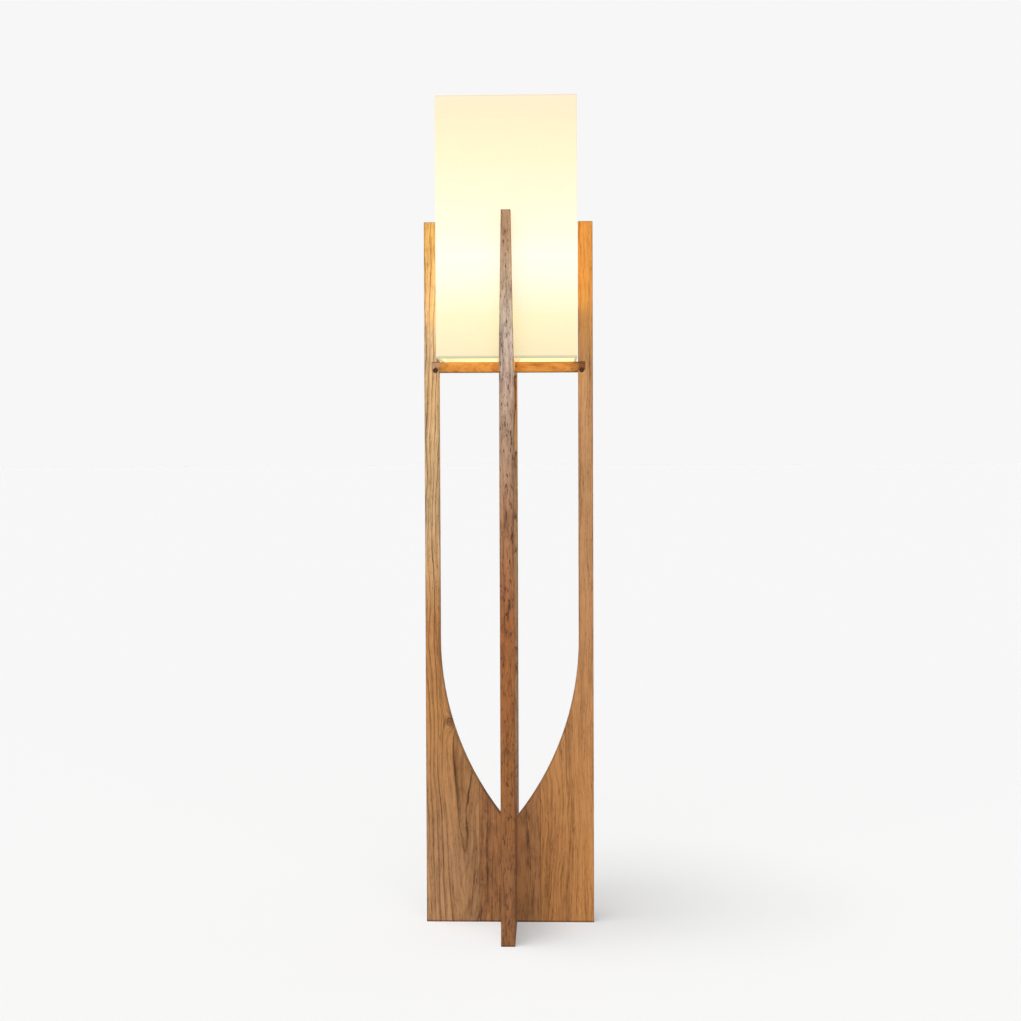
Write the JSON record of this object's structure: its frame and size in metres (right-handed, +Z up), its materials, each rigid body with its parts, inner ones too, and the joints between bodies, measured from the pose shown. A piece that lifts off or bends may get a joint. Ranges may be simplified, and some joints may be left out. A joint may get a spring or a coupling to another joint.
{
  "type": "floor lamp",
  "caption": "Floor lamp with a tall square lit shade standing loose on crossbars between upright wooden fins that swell into arched boards crossing on the floor.",
  "frame": {"origin": "on the floor under the lamp's centre line", "axes": "+Z up; -Y is the front fin, -X the left fin, +X the right fin"},
  "size_m": [0.248, 0.248, 1.2005],
  "materials": {
    "outer_board_wood": "oiled",
    "centre_board_wood": "oiled",
    "crossbar_wood": "oiled",
    "peg_wood": "oiled",
    "zinc_plated_steel": "satin",
    "bush_plastic": "matte",
    "holder_plastic": "satin",
    "holder_ceramic": "matte",
    "holder_brass": "satin",
    "cap_nickel": "satin",
    "cap_insulator": "gloss",
    "bulb_housing_plastic": "satin",
    "bulb_board": "matte",
    "bulb_opal": "satin",
    "shade_fabric": "matte",
    "frame_wire": "satin"
  },
  "bodies": {
    "stand": {"left_fin": "outer_board_wood", "right_fin": "outer_board_wood", "front_fin": "outer_board_wood", "back_fin": "outer_board_wood", "side_centre_board": "centre_board_wood", "depth_centre_board": "centre_board_wood", "side_crossbar": "crossbar_wood", "depth_crossbar": "crossbar_wood", "crossbar_pegs": "peg_wood", "threaded_nipple": "zinc_plated_steel", "nipple_washer": "zinc_plated_steel", "lock_nut": "zinc_plated_steel", "cord_bush": "bush_plastic", "lampholder_cap": "holder_plastic", "lampholder_casing": "holder_plastic", "lampholder_insert": "holder_ceramic", "lampholder_shell": "holder_brass", "centre_contact": "holder_brass", "terminal_blocks": "holder_brass", "terminal_screws": "zinc_plated_steel"},
    "shade": {"shade_cover": "shade_fabric", "shade_bottom_frame": "frame_wire", "shade_top_frame": "frame_wire"},
    "bulb": {"bulb_tip_contact": "holder_brass", "bulb_cap_insulator": "cap_insulator", "bulb_screw_cap": "cap_nickel", "bulb_housing": "bulb_housing_plastic", "bulb_led_board": "bulb_board", "bulb_globe": "bulb_opal"}
  },
  "joints": [
    {"name": "shade_lift", "type": "slide", "parent": "stand", "child": "shade", "axis": [0, 0, 1], "range_m": [0, 0.25]},
    {"name": "bulb_unscrew", "type": "hinge", "parent": "stand", "child": "bulb", "pos_m": [0, 0, 0.88], "axis": [0, 0, 1], "range_deg": [0, 1080]}
  ]
}
